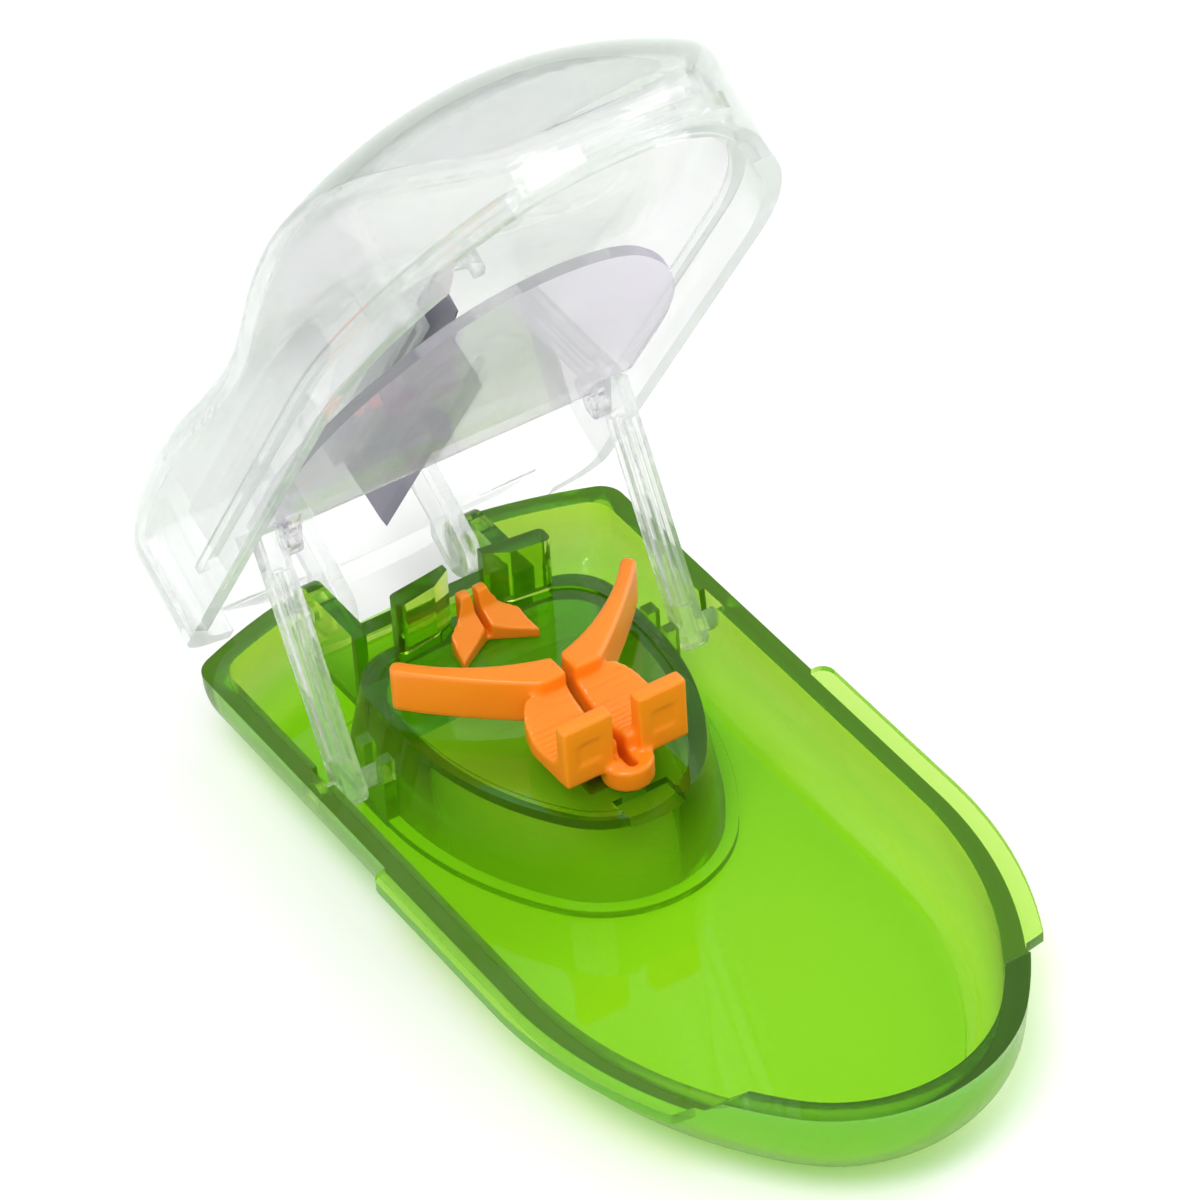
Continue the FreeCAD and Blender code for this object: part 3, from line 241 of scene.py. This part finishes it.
FINISH = {
    "base_tray": green,
    "lid_shell": clear,
    "blade_holder": clear,
    "guard_arm_left": clear,
    "guard_arm_right": clear,
    "blade_guard": violet,
    "pill_grip": orange,
    "rear_cradle": orange,
    "cutting_blade": steel,
}
for node_name, material in FINISH.items():
    slots = nodes[node_name].data.materials
    slots.clear()
    slots.append(material)

# ---- moulded soft pieces -------------------------------------------------------------------------

PULL = 0.5         # how far a vertex goes towards its neighbours' middle in each pass
RIB_PULL = 0.1     # the same where there are ribs to keep
GRIP_VOXEL, GRIP_PASSES = 0.00016, 20
CRADLE_VOXEL, CRADLE_PASSES = 0.00014, 8

# Where the ribbed tops of the grip's two pads are: out from the middle, along the tray, in height.
PAD_SIDE = (0.0010, 0.0072)
PAD_ALONG = (0.0004, 0.0081)
PAD_LEVEL = (0.0168, 0.0196)


def remeshed(name, voxel):
    """A fine, even mesh of a CAD piece, made from a copy of its mesh."""
    blank = bpy.data.objects.new(name + "_blank", nodes[name].data.copy())
    scene.collection.objects.link(blank)
    remesh = blank.modifiers.new("remesh", "REMESH")
    remesh.mode = "VOXEL"
    remesh.voxel_size = voxel
    bpy.context.view_layer.update()
    finished = blank.evaluated_get(bpy.context.evaluated_depsgraph_get())
    mesh = bpy.data.meshes.new_from_object(finished)
    bpy.data.objects.remove(blank)
    return mesh


def relax(mesh, passes, ribbed=None):
    """Rounds a mesh's edges by pulling each vertex towards its neighbours, less so on the ribs."""
    count = len(mesh.vertices)
    places = np.empty(3 * count)
    mesh.vertices.foreach_get("co", places)
    places = places.reshape(-1, 3)
    ends = np.empty(2 * len(mesh.edges), dtype=np.int64)
    mesh.edges.foreach_get("vertices", ends)
    first, second = ends.reshape(-1, 2).T

    def sums(values):
        """For each vertex, the sum of its neighbours' values."""
        return np.bincount(first, values[second], count) + np.bincount(second, values[first], count)

    neighbours = sums(np.ones(count))
    pull = np.full(count, PULL)
    if ribbed:
        pull[ribbed(places)] = RIB_PULL
    for _ in range(passes):
        for axis in range(3):
            column = places[:, axis]
            places[:, axis] = column + pull * (sums(column) / neighbours - column)
    mesh.vertices.foreach_set("co", places.ravel())
    mesh.polygons.foreach_set("use_smooth", np.ones(len(mesh.polygons), dtype=bool))
    mesh.update()


def moulded(name, body, voxel, passes, ribbed=None):
    """Stands in for a soft CAD piece: a fine remesh, relaxed until its edges are round."""
    mesh = remeshed(name, voxel)
    relax(mesh, passes, ribbed)
    mesh.materials.clear()
    mesh.materials.append(FINISH[name])
    piece = bpy.data.objects.new(name + "_moulded", mesh)
    scene.collection.objects.link(piece)
    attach(piece, body)
    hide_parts(name)


def pad_tops(places):
    """Which vertices are on the ribbed tops of the grip's two pads."""
    columns = (np.abs(places[:, 0]), places[:, 1], places[:, 2])
    inside = np.ones(len(places), dtype=bool)
    for column, (low, high) in zip(columns, (PAD_SIDE, PAD_ALONG, PAD_LEVEL)):
        inside &= (column > low) & (column < high)
    return inside


moulded("pill_grip", "grip", GRIP_VOXEL, GRIP_PASSES, pad_tops)
moulded("rear_cradle", "base", CRADLE_VOXEL, CRADLE_PASSES)

# ---- stage ---------------------------------------------------------------------------------------

FLOOR_SIZE = 6.0
FLOOR_DROP = 0.0002                        # keeps the floor clear of the tray's underside
PAPER_SCALE = 12.0
PAPER = ((0.93, 0.93, 0.93), (0.96, 0.96, 0.96))


def floor_material():
    """Matt white with faint clouds."""
    n = Nodes(bpy.data.materials.new("floor_white"))
    skin = n.add("ShaderNodeBsdfPrincipled", {"Roughness": 0.9})
    n.link(n.mix(n.noise(PAPER_SCALE), *PAPER), skin.inputs["Base Color"])
    n.link(skin.outputs["BSDF"], n.output.inputs["Surface"])
    return n.owner


bpy.ops.mesh.primitive_plane_add(size=FLOOR_SIZE, location=(0, 0, -FLOOR_DROP))
floor = bpy.context.object
floor.name = "floor"
floor.data.materials.append(floor_material())

WORLD_LEVEL = 0.84
MIRROR_LEVELS = (0.25, 0.6)                # what mirror reflections see, from below and from above
MIRROR_HEIGHTS = (-0.2, 0.9)


def studio_world():
    """White all round, but greyer in mirror reflections, so glossy plastic keeps its colour."""
    n = Nodes(bpy.data.worlds.new("studio"), "ShaderNodeOutputWorld")
    path = n.add("ShaderNodeLightPath")
    mirrored = n.calculate(
        "MULTIPLY", path.outputs["Is Glossy Ray"], path.outputs["Is Reflection Ray"])
    level = n.add("ShaderNodeMix", {"A": WORLD_LEVEL})
    n.link(mirrored, level.inputs["Factor"])
    n.link(n.ramp(n.height("Generated"), *MIRROR_LEVELS, *MIRROR_HEIGHTS), level.inputs["B"])
    background = n.add("ShaderNodeBackground", {"Color": WHITE})
    n.link(level.outputs["Result"], background.inputs["Strength"])
    n.link(background.outputs["Background"], n.output.inputs["Surface"])
    return n.owner


scene.world = studio_world()

LIGHT_AIM = (0, 0, 0.02)


def soft_light(name, place, width, power):
    """A square lamp aimed at the object. The width is in metres and the power in watts."""
    data = bpy.data.lights.new(name, "AREA")
    data.shape = "RECTANGLE"
    data.size = width
    data.size_y = width
    data.energy = power
    light = bpy.data.objects.new(name, data)
    light.location = place
    light.rotation_euler = (Vector(LIGHT_AIM) - Vector(place)).to_track_quat("-Z", "Y").to_euler()
    scene.collection.objects.link(light)


soft_light("key", place=(-0.35, -0.25, 0.9), width=0.45, power=5.0)
soft_light("fill", place=(0.75, 0.2, 0.6), width=0.6, power=2.5)

# ---- camera --------------------------------------------------------------------------------------

AZIMUTH, ELEVATION, ROLL = map(math.radians, (-30.64, 40.03, -3.66))
CAMERA_PLACE = (-0.26843, -0.45143, 0.4774)
SENSOR_WIDTH, FOCAL_LENGTH = 36.0, 200.75

back = Vector((
    math.sin(AZIMUTH) * math.cos(ELEVATION),
    -math.cos(AZIMUTH) * math.cos(ELEVATION),
    math.sin(ELEVATION),
))
level_right = Vector((math.cos(AZIMUTH), math.sin(AZIMUTH), 0))
level_up = back.cross(level_right)
right = math.cos(ROLL) * level_right + math.sin(ROLL) * level_up
up = math.cos(ROLL) * level_up - math.sin(ROLL) * level_right
lens = bpy.data.cameras.new("camera")
lens.sensor_width = SENSOR_WIDTH
lens.lens = FOCAL_LENGTH
camera = bpy.data.objects.new("camera", lens)
turn = Matrix((right, up, back)).transposed().to_4x4()
camera.matrix_world = Matrix.Translation(CAMERA_PLACE) @ turn
scene.collection.objects.link(camera)
bpy.context.scene.camera = camera

# ---- light paths ---------------------------------------------------------------------------------

THROUGH_PLASTIC = 28                       # lets a ray cross many see-through walls

scene.view_settings.view_transform = "Standard"
cycles = scene.cycles
cycles.max_bounces = THROUGH_PLASTIC
cycles.transmission_bounces = THROUGH_PLASTIC
cycles.glossy_bounces = 8
cycles.diffuse_bounces = 4
cycles.transparent_max_bounces = 24
cycles.caustics_reflective = False
cycles.caustics_refractive = False
